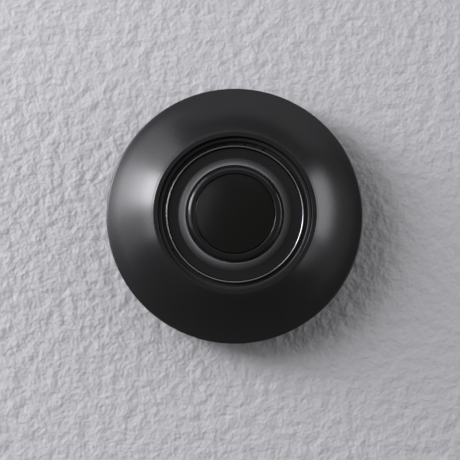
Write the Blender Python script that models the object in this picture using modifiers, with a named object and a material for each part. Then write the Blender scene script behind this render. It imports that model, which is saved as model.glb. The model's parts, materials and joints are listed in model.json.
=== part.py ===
"""A round, flared, wall-mounted video doorbell, as separate solids in metres.

Every piece is drawn face-on, in its own frame: x to the right, y up the wall and z out of the wall
towards the visitor. One empty turns that frame upright, so that z points along world -Y.
The wall is world y = 0, and the origin is the middle of the doorbell's flat back.
"""

import math

import bmesh
import bpy
from mathutils import Matrix

SEGMENTS = 48  # steps round a large turned piece
SMALL_SEGMENTS = 12  # sides of a screw, hole or other small round piece
GAP = 0.0003  # clearance between pieces that touch on the real object
MERGE = 0.00001

# Radii, from the rim inwards
RIM_RADIUS = 0.0400
SKIRT_RADIUS = 0.0384  # the flange's side narrows to this at the wall
RIM_EDGE_RADIUS = 0.0395
RIM_INNER_RADIUS = 0.0360
COLLAR_RADIUS = 0.0253
BORE_RADIUS = 0.0240
LEDGE_RADIUS = 0.0229
SOUND_CIRCLE = 0.0221
LIGHT_RING_RADIUS = 0.02135
LAND_RADIUS = 0.02070
COVE_RADIUS = 0.0175
BUTTON_HOLE_RADIUS = 0.0153
BEZEL_RADIUS = 0.0150
WINDOW_RADIUS = 0.0123
CAMERA_RADIUS = 0.0094

# Heights above the wall, from the back to the front
WIRING_ROOM = 0.0070  # how much the board stands off, for the bell wires and the speaker behind it
PLATE_TOP = 0.0012
FLOOR_BACK = PLATE_TOP + GAP
FLOOR_TOP = 0.0027
BOARD_BACK = WIRING_ROOM + 0.0035
BOARD_TOP = BOARD_BACK + 0.0010
PARTS_BACK = BOARD_TOP + GAP
RIM_HEIGHT = WIRING_ROOM + 0.0052
LEDGE_BACK = WIRING_ROOM + 0.0061
LEDGE_TOP = LEDGE_BACK + 0.0005
SURROUND_BACK = LEDGE_TOP + GAP
SURROUND_SEAT = SURROUND_BACK + 0.0006
LIGHT_BACK = SURROUND_SEAT + GAP
LIGHT_SEAT = LIGHT_BACK + 0.0006
LAND_HEIGHT = WIRING_ROOM + 0.0088
COVE_HEIGHT = WIRING_ROOM + 0.0102
LIGHT_HEIGHT = WIRING_ROOM + 0.0102
RETAINER_HEIGHT = WIRING_ROOM + 0.0110
BEZEL_HEIGHT = WIRING_ROOM + 0.0117
WINDOW_HEIGHT = WIRING_ROOM + 0.0121
COLLAR_HEIGHT = WIRING_ROOM + 0.0132

# The flange's face: its slope grows evenly from the rim to the collar
RIM_SLOPE = 0.21
COLLAR_SLOPE = 0.90
SHELL = 0.0018

# The button
TRAVEL = 0.0006  # how far it can be pressed
CARRIER_BACK = WIRING_ROOM + 0.0066
CARRIER_TOP = CARRIER_BACK + 0.0010
CARRIER_LIP_RADIUS = 0.0165
BUTTON_SKIRT_TOP = CARRIER_TOP + GAP
SPIGOT_TOP = CARRIER_TOP + 0.0004
WINDOW_EDGE = WINDOW_HEIGHT - 0.0007
WINDOW_BACK = WINDOW_EDGE - 0.0008
WINDOW_LEDGE_TOP = WINDOW_BACK - 0.0006

# The camera's stack, from its board to its lens
SENSOR_BOARD = (WIRING_ROOM + 0.0054, WIRING_ROOM + 0.0060)
SENSOR_PARTS_BACK = SENSOR_BOARD[1] + GAP

# Fasteners
SCREW_ANGLES = (45, 135, 225, 315)
BOARD_SCREW_ANGLES = (0, 120, 240)
SHANK_RADIUS = 0.0009
SCREW_HOLE_RADIUS = SHANK_RADIUS + GAP
BOARD_SCREW_CIRCLE = 0.0263
BOARD_SCREW_TIP = PARTS_BACK - 0.0042
HOUSING_SCREW_CIRCLE = 0.0280
BOSS_RADIUS = 0.0020
SECURITY_HEIGHT = 0.0026  # of the security screw's axis above the wall
SECURITY_SEAT = 0.0373  # radius where its head rests
LUG_RADIUS = 0.0345  # the plate's two catches stand about this far from the axis
THROUGH = 0.0010  # how far a drill starts before the face that it enters

# Sound
MICROPHONE_ANGLE = 210
SPEAKER_HOLE_ANGLES = tuple(range(66, 115, 8))
SOUND_HOLE_RADIUS = 0.00035

# Cable entry, wiring well and terminals
TERMINAL_SIZE = (0.0160, 0.0080)
TERMINAL_CENTRE = (0.0, -0.0200)
TERMINAL_PITCH = 0.0080
ENTRY_SIZE = (0.0190, 0.0150)
ENTRY_CENTRE = (0.0, -0.0175)
WELL_SIZE = (0.0176, 0.0136)
WELL_ROOF = (0.0066, 0.0076)
WALL_SCREW_SPACING = 0.0600
SLOT_SIZE = (0.0042, 0.0090)
SINK_SIZE = (0.0080, 0.0128)

# Status lights and speaker
RING_LEDS = 6
RING_LED_CIRCLE = 0.0220
SPEAKER_SIZE = (0.0150, 0.0090)
SPEAKER_CENTRE = (0.0, 0.0177)

PALETTE = {
    "gloss_black": ((0.010, 0.010, 0.011), 0.25, 0.0),
    "satin_black": ((0.014, 0.014, 0.015), 0.45, 0.0),
    "dark_grey": ((0.045, 0.046, 0.048), 0.60, 0.0),
    "smoked": ((0.008, 0.008, 0.008), 0.06, 0.0),
    "black_nickel": ((0.20, 0.20, 0.21), 0.18, 1.0),
    "steel": ((0.56, 0.57, 0.58), 0.30, 1.0),
    "tin": ((0.62, 0.62, 0.60), 0.35, 1.0),
    "rubber": ((0.020, 0.020, 0.020), 0.85, 0.0),
    "foam": ((0.035, 0.035, 0.037), 0.95, 0.0),
    "board_green": ((0.012, 0.085, 0.040), 0.45, 0.0),
    "chip": ((0.018, 0.018, 0.019), 0.55, 0.0),
    "ivory": ((0.62, 0.60, 0.52), 0.50, 0.0),
    "tantalum": ((0.55, 0.36, 0.06), 0.55, 0.0),
    "terminal_green": ((0.020, 0.170, 0.070), 0.50, 0.0),
    "glass": ((0.020, 0.016, 0.030), 0.04, 0.0),
}


def clear_scene():
    for obj in list(bpy.data.objects):
        bpy.data.objects.remove(obj)


def collection(name):
    made = bpy.data.collections.new(name)
    bpy.context.scene.collection.children.link(made)
    return made


clear_scene()
PARTS = collection("video_doorbell")
CUTTERS = collection("cutters")
UNIT = bpy.data.objects.new("unit_frame", None)
UNIT.rotation_euler = (math.pi / 2, 0, 0)
PARTS.objects.link(UNIT)
BUTTON = bpy.data.objects.new("button_frame", None)
BUTTON.parent = UNIT
PARTS.objects.link(BUTTON)


def material(node, finish):
    """A Principled material of this piece's own, in one of the palette's finishes."""
    colour, roughness, metallic = PALETTE[finish]
    made = bpy.data.materials.new(node)
    made.use_nodes = True
    shader = made.node_tree.nodes["Principled BSDF"]
    shader.inputs["Base Color"].default_value = (*colour, 1)
    shader.inputs["Roughness"].default_value = roughness
    shader.inputs["Metallic"].default_value = metallic
    return made


def add_object(name, mesh, finish=None, parent=UNIT):
    """An object for a piece, or for a cutter when it has no finish."""
    obj = bpy.data.objects.new(name, mesh)
    obj.parent = parent
    if finish:
        PARTS.objects.link(obj)
        mesh.materials.append(material(name, finish))
    else:
        CUTTERS.objects.link(obj)
        obj.hide_render = True
        obj.display_type = "WIRE"
    return obj


def smooth(mesh, degrees=35):
    mesh.shade_smooth()
    mesh.set_sharp_from_angle(angle=math.radians(degrees))


def turned(name, profile, finish=None, parent=UNIT, at=(0, 0, 0), steps=SEGMENTS):
    """A shape turned about the z axis.

    The profile is (radius, height) points, from the front down the outer side and back up the
    inner side. A profile that starts and ends on the axis stays open, and any other is closed.
    """
    mesh = bpy.data.meshes.new(name)
    edges = [(n, n + 1) for n in range(len(profile) - 1)]
    if profile[0][0] > 0:
        edges.append((len(profile) - 1, 0))
    mesh.from_pydata([(radius, 0, height) for radius, height in profile], edges, [])
    obj = add_object(name, mesh, finish, parent)
    obj.location = at
    screw = obj.modifiers.new("turn", "SCREW")
    screw.steps = screw.render_steps = steps
    screw.use_merge_vertices = True
    screw.merge_threshold = MERGE
    screw.use_smooth_shade = finish is not None
    return obj


def from_bmesh(name, shape, finish, parent, at):
    mesh = bpy.data.meshes.new(name)
    shape.to_mesh(mesh)
    shape.free()
    obj = add_object(name, mesh, finish, parent)
    obj.location = at
    return obj


def rod(name, radius, low, high, finish=None, parent=UNIT, at=(0, 0), sides=SMALL_SEGMENTS):
    """A plain round bar along z, from one height to another."""
    shape = bmesh.new()
    bmesh.ops.create_cone(
        shape, cap_ends=True, segments=sides, radius1=radius, radius2=radius, depth=high - low
    )
    obj = from_bmesh(name, shape, finish, parent, (*at, (low + high) / 2))
    if finish:
        smooth(obj.data)
    return obj


def block(name, size, low, high, finish=None, parent=UNIT, at=(0, 0), turn=0.0, corner=0.0):
    """A box between two heights, turned about z, with its upright edges rounded by corner."""
    shape = bmesh.new()
    bmesh.ops.create_cube(shape, size=1)
    bmesh.ops.scale(shape, vec=(size[0], size[1], high - low), verts=shape.verts)
    if corner:
        upright = [e for e in shape.edges if abs(e.verts[0].co.z - e.verts[1].co.z) > MERGE]
        bmesh.ops.bevel(shape, geom=upright, offset=corner, segments=3, affect="EDGES", profile=0.5)
    obj = from_bmesh(name, shape, finish, parent, (*at, (low + high) / 2))
    obj.rotation_euler.z = turn
    return obj


def boolean(obj, tool, operation):
    modifier = obj.modifiers.new(tool.name, "BOOLEAN")
    modifier.operation = operation
    modifier.solver = "EXACT"
    modifier.object = tool


def cut(obj, *tools):
    for tool in tools:
        boolean(obj, tool, "DIFFERENCE")


def join(obj, *tools):
    for tool in tools:
        boolean(obj, tool, "UNION")


def arc(centre, radius, start, end, steps):
    """Points on a rounded corner of a profile, from one angle to another, in degrees."""
    points = []
    for step in range(steps + 1):
        angle = math.radians(start + (end - start) * step / steps)
        points.append((centre[0] + radius * math.cos(angle), centre[1] + radius * math.sin(angle)))
    return points


def polar(radius, degrees):
    angle = math.radians(degrees)
    return (radius * math.cos(angle), radius * math.sin(angle))


# ---------------------------------------------------------------- casing


def flange_height(radius):
    """Height of the flange's face above the wall at a radius."""
    inward = RIM_EDGE_RADIUS - radius
    run = RIM_EDGE_RADIUS - COLLAR_RADIUS
    return RIM_HEIGHT + RIM_SLOPE * inward + (COLLAR_SLOPE - RIM_SLOPE) * inward**2 / (2 * run)


def flange_inside(radius):
    """Height of the flange's inner face, one shell thickness behind the outer one."""
    share = (RIM_EDGE_RADIUS - radius) / (RIM_EDGE_RADIUS - COLLAR_RADIUS)
    slope = RIM_SLOPE + (COLLAR_SLOPE - RIM_SLOPE) * share
    return flange_height(radius) - SHELL * math.hypot(1, slope)


def flange():
    lip = 0.0004
    inner_lip = 0.0005
    lip_end = 90 - math.degrees(math.atan(COLLAR_SLOPE))
    rim_round = 0.0005
    skirt_radius = 0.0258
    skirt_top = LEDGE_BACK + 0.0025
    slope_end = 0.0272
    boss = (0.0036, WIRING_ROOM + 0.0087)
    pilot = (0.0030, 0.0070)
    tooth = (0.0037, 0.0052)
    profile = arc((COLLAR_RADIUS - lip, COLLAR_HEIGHT - lip), lip, 90, lip_end, 3)
    faces = 7
    for n in range(1, faces + 1):
        radius = COLLAR_RADIUS + (RIM_EDGE_RADIUS - COLLAR_RADIUS) * n / faces
        profile.append((radius, flange_height(radius)))
    profile += arc((RIM_RADIUS - rim_round, RIM_HEIGHT - rim_round), rim_round, 60, 0, 2)
    profile += [(SKIRT_RADIUS, PLATE_TOP), (RIM_INNER_RADIUS, PLATE_TOP)]
    for n in range(5):
        radius = RIM_INNER_RADIUS - (RIM_INNER_RADIUS - slope_end) * n / 4
        profile.append((radius, flange_inside(radius)))
    profile += [
        (skirt_radius, skirt_top),
        (skirt_radius, LEDGE_BACK),
        (LEDGE_RADIUS, LEDGE_BACK),
        (LEDGE_RADIUS, LEDGE_TOP),
        (BORE_RADIUS + GAP, LEDGE_TOP),
        (BORE_RADIUS + GAP, RETAINER_HEIGHT),
        (BORE_RADIUS, RETAINER_HEIGHT + GAP),
    ]
    profile += arc((BORE_RADIUS + inner_lip, COLLAR_HEIGHT - inner_lip), inner_lip, 180, 90, 3)
    shell = turned("flange", profile, "gloss_black")
    join(shell, block("hook_tooth", (0.0080, 0.0025), *tooth, at=(0, 0.03525)))
    for n, angle in enumerate(SCREW_ANGLES):
        spot = polar(HOUSING_SCREW_CIRCLE, angle)
        join(shell, rod(f"flange_boss_{n}", BOSS_RADIUS, *boss, at=spot))
        cut(shell, rod(f"flange_pilot_{n}", SCREW_HOLE_RADIUS, *pilot, at=spot))
    cut(shell, *radial_screw_cutters())


def radial_screw_cutters():
    """The security screw's hole and head recess, drilled up through the bottom of the rim."""
    cutters = []
    recess_radius = 0.0017
    beyond = RIM_RADIUS + THROUGH
    for name, radius, low, high in (
        ("security_hole", SCREW_HOLE_RADIUS, 0.0350, beyond),
        ("security_recess", recess_radius, SECURITY_SEAT - GAP, beyond),
    ):
        drill = rod(name, radius, low, high)
        drill.rotation_euler = (math.pi / 2, 0, 0)
        drill.location = (0, -(low + high) / 2, SECURITY_HEIGHT)
        cutters.append(drill)
    return cutters


def wall_plate():
    outer = 0.0357
    above = 0.0030
    sink_floor = 0.0006
    plate = turned("wall_plate", [(0, PLATE_TOP), (outer, PLATE_TOP), (outer, 0), (0, 0)], "dark_grey")
    lug = block("security_lug", (0.0060, 0.0022), sink_floor, 0.0039, at=(0, -LUG_RADIUS))
    hook = block("top_hook", (0.0100, 0.0020), sink_floor, 0.0034, at=(0, LUG_RADIUS - 0.0001))
    join(plate, lug, hook)
    cut(plate, block("cable_entry", ENTRY_SIZE, -THROUGH, above, at=ENTRY_CENTRE, corner=0.0030))
    for side in (-1, 1):
        spot = (side * WALL_SCREW_SPACING / 2, 0)
        cut(plate, block(f"wall_slot_{side}", SLOT_SIZE, -THROUGH, above, at=spot, corner=0.0020))
        cut(plate, block(f"slot_sink_{side}", SINK_SIZE, sink_floor, above, at=spot, corner=0.0039))
    drill = rod("lug_hole", SCREW_HOLE_RADIUS, 0.0330, 0.0360)
    drill.rotation_euler = (math.pi / 2, 0, 0)
    drill.location = (0, -LUG_RADIUS, SECURITY_HEIGHT)
    cut(plate, drill)


def wall_gasket():
    thick = PLATE_TOP - GAP
    outer, inner = SKIRT_RADIUS - 0.0004, RIM_INNER_RADIUS + 0.0002
    turned("wall_gasket", [(outer, thick), (outer, 0), (inner, 0), (inner, thick)], "foam")


def cable_grommet():
    wall = 0.0012
    width, height = (side - 2 * GAP for side in ENTRY_SIZE)
    ring = block(
        "cable_grommet", (width, height), 0.0, PLATE_TOP, "rubber", at=ENTRY_CENTRE, corner=0.0027
    )
    inner = (width - 2 * wall, height - 2 * wall)
    hole = block("grommet_hole", inner, -THROUGH, PLATE_TOP + THROUGH, at=ENTRY_CENTRE, corner=0.0018)
    cut(ring, hole)


def rear_housing():
    """The tray that closes the back, with a well in its floor where the bell wires come in."""
    outer = 0.0322
    inner = 0.0310
    wall_top = WIRING_ROOM + 0.0044
    below, above = FLOOR_BACK - THROUGH, BOARD_TOP
    root = 0.0020  # standoffs and pads start inside the floor
    pad_top = 0.0033
    sink_top = 0.0025
    tray = turned(
        "rear_housing",
        [
            (0, FLOOR_TOP),
            (inner, FLOOR_TOP),
            (inner, wall_top),
            (outer, wall_top),
            (outer, FLOOR_BACK),
            (0, FLOOR_BACK),
        ],
        "dark_grey",
    )
    roof = tuple(side + 2 * (WELL_ROOF[1] - WELL_ROOF[0]) for side in WELL_SIZE)
    join(tray, block("well_roof", roof, root, WELL_ROOF[1], at=ENTRY_CENTRE))
    cut(tray, block("wiring_well", WELL_SIZE, below, WELL_ROOF[0], at=ENTRY_CENTRE))
    for n, angle in enumerate(BOARD_SCREW_ANGLES):
        spot = polar(BOARD_SCREW_CIRCLE, angle)
        join(tray, rod(f"standoff_{n}", 0.0024, root, BOARD_BACK - GAP, at=spot))
        cut(tray, rod(f"standoff_hole_{n}", SCREW_HOLE_RADIUS, BOARD_SCREW_TIP - GAP, above, at=spot))
    for n, angle in enumerate(SCREW_ANGLES):
        spot = polar(HOUSING_SCREW_CIRCLE, angle)
        join(tray, rod(f"screw_pad_{n}", 0.0027, root, pad_top, at=spot))
        cut(tray, rod(f"screw_way_{n}", SCREW_HOLE_RADIUS, below, above, at=spot))
        cut(tray, rod(f"screw_sink_{n}", 0.0021, below, sink_top, at=spot))
    opening = tuple(side + 2 * GAP for side in TERMINAL_SIZE)
    cut(tray, block("terminal_way", opening, below, above, at=TERMINAL_CENTRE))


def housing_seal():
    cord = 0.0004
    section = arc((0.0316, WIRING_ROOM + 0.0051), cord, 90, -210, 5)
    turned("housing_seal", section, "rubber")


def retaining_ring():
    inner = 0.0227
    chamfer = 0.0003
    back = LIGHT_SEAT + GAP
    turned(
        "retaining_ring",
        [
            (BORE_RADIUS - chamfer, RETAINER_HEIGHT),
            (BORE_RADIUS, RETAINER_HEIGHT - chamfer),
            (BORE_RADIUS, back),
            (inner, back),
            (inner, RETAINER_HEIGHT - chamfer),
            (inner + chamfer, RETAINER_HEIGHT),
        ],
        "satin_black",
    )


def light_ring():
    """The status light's guide: a thin bead that shows, on a seat under the retaining ring."""
    half = 0.0003
    bead = arc((LIGHT_RING_RADIUS, LIGHT_HEIGHT - half), half, 90, 0, 3)
    inner = LIGHT_RING_RADIUS - half
    ring = turned(
        "light_ring",
        [
            *bead,
            (LIGHT_RING_RADIUS + half, LIGHT_SEAT),
            (BORE_RADIUS, LIGHT_SEAT),
            (BORE_RADIUS, LIGHT_BACK),
            (inner, LIGHT_BACK),
            *arc((LIGHT_RING_RADIUS, LIGHT_HEIGHT - half), half, 180, 120, 2),
        ],
        "black_nickel",
    )
    cut(ring, *sound_holes("guide", LIGHT_BACK - THROUGH, LIGHT_SEAT + GAP))


def sound_holes(label, low, high):
    """Drills for the speaker's holes at the top of the groove and the microphone's at its side."""
    drills = []
    for n, angle in enumerate((*SPEAKER_HOLE_ANGLES, MICROPHONE_ANGLE)):
        spot = polar(SOUND_CIRCLE, angle)
        drills.append(rod(f"{label}_sound_{n}", SOUND_HOLE_RADIUS, low, high, at=spot, sides=8))
    return drills


def surround():
    """The land and the cove round the button, on a seat that the retaining ring clamps."""
    rim = 0.0003  # the flat top between the hole and the cove
    skirt_radius = 0.0172
    cove = COVE_RADIUS - BUTTON_HOLE_RADIUS - rim
    rise = COVE_HEIGHT - LAND_HEIGHT
    profile = [(BUTTON_HOLE_RADIUS + 0.0001, COVE_HEIGHT), (COVE_RADIUS - cove, COVE_HEIGHT)]
    for step in range(1, 6):
        angle = math.radians(90 * step / 5)
        radius = COVE_RADIUS - cove * math.cos(angle)
        profile.append((radius, LAND_HEIGHT + rise * (1 - math.sin(angle))))
    edge = 0.0002
    profile += [
        (LAND_RADIUS - edge, LAND_HEIGHT),
        (LAND_RADIUS, LAND_HEIGHT - edge),
        (LAND_RADIUS, SURROUND_SEAT),
        (BORE_RADIUS, SURROUND_SEAT),
        (BORE_RADIUS, SURROUND_BACK),
        (skirt_radius, SURROUND_BACK),
        (skirt_radius, BUTTON_SKIRT_TOP),
        (BUTTON_HOLE_RADIUS, BUTTON_SKIRT_TOP),
        (BUTTON_HOLE_RADIUS, COVE_HEIGHT - 0.0001),
    ]
    ring = turned("surround", profile, "gloss_black")
    depth = (SURROUND_BACK - 0.0005, SURROUND_SEAT + 0.0005)
    cut(ring, *sound_holes("seat", *depth))
    for n in range(RING_LEDS):
        spot = polar(RING_LED_CIRCLE, 360 / RING_LEDS * n)
        cut(ring, rod(f"light_way_{n}", 0.0008, *depth, at=spot))


# ---------------------------------------------------------------- button


def bezel():
    roll = 0.0013
    inner = WINDOW_RADIUS + GAP
    ledge = 0.0112
    ledge_back = WINDOW_LEDGE_TOP - 0.0006
    skirt_inner = 0.0130
    chamfer = 0.0003
    turned(
        "bezel",
        [
            *arc((BEZEL_RADIUS - roll, BEZEL_HEIGHT - roll), roll, 90, 0, 5),
            (BEZEL_RADIUS, BUTTON_SKIRT_TOP),
            (skirt_inner, BUTTON_SKIRT_TOP),
            (skirt_inner, ledge_back),
            (ledge, ledge_back),
            (ledge, WINDOW_LEDGE_TOP),
            (inner, WINDOW_LEDGE_TOP),
            (inner, BEZEL_HEIGHT - chamfer),
            (inner + chamfer, BEZEL_HEIGHT),
        ],
        "gloss_black",
        BUTTON,
    )


def window():
    crown = WINDOW_HEIGHT - WINDOW_EDGE
    profile = []
    rings = 5
    for n in range(rings + 1):
        share = n / rings
        profile.append((WINDOW_RADIUS * share, WINDOW_EDGE + crown * (1 - share**2)))
    profile += [(WINDOW_RADIUS, WINDOW_BACK), (0, WINDOW_BACK)]
    turned("window", profile, "smoked", BUTTON)


def window_seal():
    squeeze = 0.0001
    low, high = WINDOW_LEDGE_TOP + squeeze, WINDOW_BACK - squeeze
    outer, inner = 0.0120, 0.0114
    turned("window_seal", [(outer, high), (outer, low), (inner, low), (inner, high)], "foam", BUTTON)


def button_carrier():
    inner = 0.0102
    spigot_outer = 0.0127
    turned(
        "button_carrier",
        [
            (spigot_outer, SPIGOT_TOP),
            (spigot_outer, CARRIER_TOP),
            (CARRIER_LIP_RADIUS, CARRIER_TOP),
            (CARRIER_LIP_RADIUS, CARRIER_BACK),
            (inner, CARRIER_BACK),
            (inner, SPIGOT_TOP),
        ],
        "ivory",
        BUTTON,
    )


def wave_spring():
    """A flat washer with three waves, which pushes the button carrier forward."""
    outer, inner, thick = 0.0121, 0.0107, 0.0002
    clear = 0.0002
    waves = 3
    middle = (PARTS_BACK + CARRIER_BACK) / 2
    sway = (CARRIER_BACK - PARTS_BACK) / 2 - thick / 2 - clear
    spring = turned(
        "wave_spring",
        [(outer, thick / 2), (outer, -thick / 2), (inner, -thick / 2), (inner, thick / 2)],
        "steel",
    )
    mesh = bpy.data.meshes.new_from_object(spring.evaluated_get(bpy.context.evaluated_depsgraph_get()))
    for vertex in mesh.vertices:
        turn = math.atan2(vertex.co.y, vertex.co.x)
        vertex.co.z += middle + sway * math.cos(waves * turn)
    spring.modifiers.clear()
    spring.data = mesh


def tact_switches():
    side_length, top, hole = 0.0042, WIRING_ROOM + 0.0060, 0.0015
    spacing = 0.0284
    plunger = (PARTS_BACK + TRAVEL + 0.0001, CARRIER_BACK - GAP)
    for name, side in (("left", -1), ("right", 1)):
        spot = (side * spacing / 2, 0)
        body = block(f"switch_{name}", (side_length, side_length), PARTS_BACK, top, "chip", at=spot)
        cut(body, rod(f"switch_{name}_hole", hole, PARTS_BACK - THROUGH, top + THROUGH, at=spot))
        rod(f"plunger_{name}", hole - GAP, *plunger, "ivory", BUTTON, at=spot)


# ---------------------------------------------------------------- camera


def camera():
    """A small camera on its own board behind the window, with four infrared lamps round it."""
    rod("sensor_board", CAMERA_RADIUS, *SENSOR_BOARD, "board_green", sides=32)
    connector_top = SENSOR_BOARD[0] - GAP
    block("camera_connector", (0.0080, 0.0024), PARTS_BACK, connector_top, "ivory", at=(0, -0.0050))
    block("image_sensor", (0.0050, 0.0050), SENSOR_PARTS_BACK, SENSOR_PARTS_BACK + 0.0004, "glass")
    lens_holder()
    lens()
    lamp_circle, lamp_size, lamp_top = 0.0070, 0.0024, SENSOR_PARTS_BACK + 0.0009
    for n, angle in enumerate(SCREW_ANGLES):
        block(
            f"infrared_led_{n + 1}",
            (lamp_size, lamp_size),
            SENSOR_PARTS_BACK,
            lamp_top,
            "ivory",
            at=polar(lamp_circle, angle),
            turn=math.radians(angle),
        )


def lens_holder():
    side, hollow, bore = 0.0078, 0.0060, 0.0024
    roof = (WIRING_ROOM + 0.0071, WIRING_ROOM + 0.0078)
    holder = block("lens_holder", (side, side), SENSOR_PARTS_BACK, roof[1], "satin_black", corner=0.0006)
    cut(holder, block("holder_hollow", (hollow, hollow), SENSOR_PARTS_BACK - THROUGH, roof[0]))
    cut(holder, rod("holder_bore", bore, roof[0] - THROUGH, roof[1] + THROUGH))


def lens():
    outer, inner = 0.0021, 0.0013
    back, top = WIRING_ROOM + 0.0070, WIRING_ROOM + 0.0094
    chamfer = 0.0001
    turned(
        "lens_barrel",
        [(outer - chamfer, top), (outer, top - chamfer), (outer, back), (inner, back), (inner, top)],
        "satin_black",
        steps=SMALL_SEGMENTS,
    )
    radius, crown, shoulder = 0.0010, top - 0.0002, top - 0.0006
    lens_back = back + GAP
    turned(
        "front_lens",
        [(0, crown), (0.0006, crown - 0.0001), (radius, shoulder), (radius, lens_back), (0, lens_back)],
        "glass",
        steps=SMALL_SEGMENTS,
    )


# ---------------------------------------------------------------- electronics


def main_board():
    radius = 0.0284
    through = (BOARD_BACK - THROUGH, BOARD_TOP + THROUGH)
    board = rod("main_board", radius, BOARD_BACK, BOARD_TOP, "board_green", sides=SEGMENTS)
    for n, angle in enumerate(SCREW_ANGLES):
        spot = polar(HOUSING_SCREW_CIRCLE, angle)
        cut(board, rod(f"board_notch_{n}", BOSS_RADIUS + 2 * GAP, *through, at=spot))
    for n, angle in enumerate(BOARD_SCREW_ANGLES):
        spot = polar(BOARD_SCREW_CIRCLE, angle)
        cut(board, rod(f"board_hole_{n}", SCREW_HOLE_RADIUS, *through, at=spot))
    for name, size, spot in (
        ("terminal_cutout", TERMINAL_SIZE, TERMINAL_CENTRE),
        ("speaker_cutout", SPEAKER_SIZE, SPEAKER_CENTRE),
    ):
        roomy = tuple(side + 2 * GAP for side in size)
        cut(board, block(name, roomy, *through, at=spot))


def board_parts():
    tall, low = PARTS_BACK + 0.0009, PARTS_BACK + 0.0006
    microphone_top = LEDGE_BACK - 0.0005
    blocks = (
        ("processor", (0.0080, 0.0080), tall, "chip", polar(0.0199, 150), 150),
        ("radio_shield", (0.0100, 0.0080), tall, "tin", (0.0195, 0.0110), -30),
        ("power_inductor", (0.0060, 0.0060), tall, "chip", (0.0195, -0.0110), 30),
        ("microphone", (0.0026, 0.0020), microphone_top, "tin", polar(SOUND_CIRCLE, MICROPHONE_ANGLE), 30),
    )
    for name, size, top, finish, spot, degrees in blocks:
        block(name, size, PARTS_BACK, top, finish, at=spot, turn=math.radians(degrees))
    for n, angle in enumerate((165, 180, 195)):
        spot = polar(0.0264, angle)
        turn = math.radians(angle + 90)
        block(f"capacitor_{n + 1}", (0.0046, 0.0022), PARTS_BACK, tall, "tantalum", at=spot, turn=turn)
    for n in range(RING_LEDS):
        angle = 360 / RING_LEDS * n
        spot = polar(RING_LED_CIRCLE, angle)
        turn = math.radians(angle + 90)
        block(f"ring_led_{n + 1}", (0.0016, 0.0008), PARTS_BACK, low, "ivory", at=spot, turn=turn)


def microphone_boot():
    neck, outer, hole = 0.0006, 0.0022, 0.0003
    chamfer, wall = 0.0002, 0.0004
    under = LEDGE_BACK - chamfer
    spot = polar(SOUND_CIRCLE, MICROPHONE_ANGLE)
    turned(
        "microphone_boot",
        [
            (neck, LEDGE_TOP),
            (neck, LEDGE_BACK),
            (outer - chamfer, LEDGE_BACK),
            (outer, under),
            (outer, PARTS_BACK),
            (outer - wall, PARTS_BACK),
            (outer - wall, under),
            (hole, under),
            (hole, LEDGE_TOP),
        ],
        "rubber",
        at=(*spot, 0),
        steps=SMALL_SEGMENTS,
    )


def speaker():
    back, top = BOARD_BACK - 0.0022, BOARD_TOP + 0.0012
    block("speaker", SPEAKER_SIZE, back, top, "satin_black", at=SPEAKER_CENTRE, corner=0.0010)
    low, high = top + GAP, LEDGE_TOP
    spot = (0, 0.0196)
    gasket = block("speaker_gasket", (0.0120, 0.0044), low, high, "foam", at=spot, corner=0.0008)
    cut(gasket, block("gasket_hole", (0.0100, 0.0028), low - THROUGH, high + THROUGH, at=spot))


def terminals():
    """The terminal block in the well's roof, with its two screws facing the wall."""
    back, top = WELL_ROOF[0], BOARD_TOP + 0.0011
    seat, tip = back + 0.0013, back + 0.0028
    body = block("terminal_block", TERMINAL_SIZE, back, top, "terminal_green", at=TERMINAL_CENTRE)
    for n, side in enumerate((-1, 1)):
        spot = (TERMINAL_CENTRE[0] + side * TERMINAL_PITCH / 2, TERMINAL_CENTRE[1])
        cut(body, rod(f"terminal_sink_{n}", 0.0024, back - THROUGH, seat + GAP, at=spot))
        cut(body, rod(f"terminal_hole_{n}", SCREW_HOLE_RADIUS, back, tip + GAP, at=spot))
        screw(f"terminal_screw_{n + 1}", spot, seat, tip, head_radius=0.0019, head=-0.0010)


# ---------------------------------------------------------------- screws


def screw(name, spot, head_seat, tip, head_radius=0.0017, head=0.0008, finish="steel"):
    """A round-headed screw along z, with a cross-shaped drive slot.

    The head reaches from its seat by head, and a negative head faces the wall.
    """
    edge = math.copysign(0.0002, head)
    slot_width = 0.0005
    outline = [
        (0, head_seat + head),
        (head_radius - abs(edge), head_seat + head),
        (head_radius, head_seat + head - edge),
        (head_radius, head_seat),
        (SHANK_RADIUS, head_seat),
        (SHANK_RADIUS, tip),
        (0, tip),
    ]
    if head < 0:
        outline.reverse()
    body = turned(name, outline, finish, at=(*spot, 0), steps=SMALL_SEGMENTS)
    slot_low, slot_high = sorted((head_seat + head * 1.5, head_seat + head * 0.45))
    slot_length = head_radius * 1.2
    for n, size in enumerate(((slot_length, slot_width), (slot_width, slot_length))):
        cut(body, block(f"{name}_slot_{n}", size, slot_low, slot_high, at=spot))
    return body


def screws():
    housing_seat, housing_tip = 0.0025 - GAP / 2, 0.0066
    shank = 0.0040
    for n, angle in enumerate(BOARD_SCREW_ANGLES):
        spot = polar(BOARD_SCREW_CIRCLE, angle)
        screw(f"board_screw_{n + 1}", spot, PARTS_BACK, BOARD_SCREW_TIP, head=0.0009)
    for n, angle in enumerate(SCREW_ANGLES):
        spot = polar(HOUSING_SCREW_CIRCLE, angle)
        screw(f"housing_screw_{n + 1}", spot, housing_seat, housing_tip, head=-0.0007)
    security = screw("security_screw", (0, 0), 0.0, -shank, 0.0014, 0.0009, "black_nickel")
    seat = Matrix.Translation((0, -SECURITY_SEAT, SECURITY_HEIGHT))
    move_with_cutters(security, seat @ Matrix.Rotation(math.pi / 2, 4, "X"))


def move_with_cutters(obj, place):
    """Move a piece and the cutters that shape it together."""
    for modifier in obj.modifiers:
        if modifier.type == "BOOLEAN":
            modifier.object.matrix_basis = place @ modifier.object.matrix_basis
    obj.matrix_basis = place @ obj.matrix_basis


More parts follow.
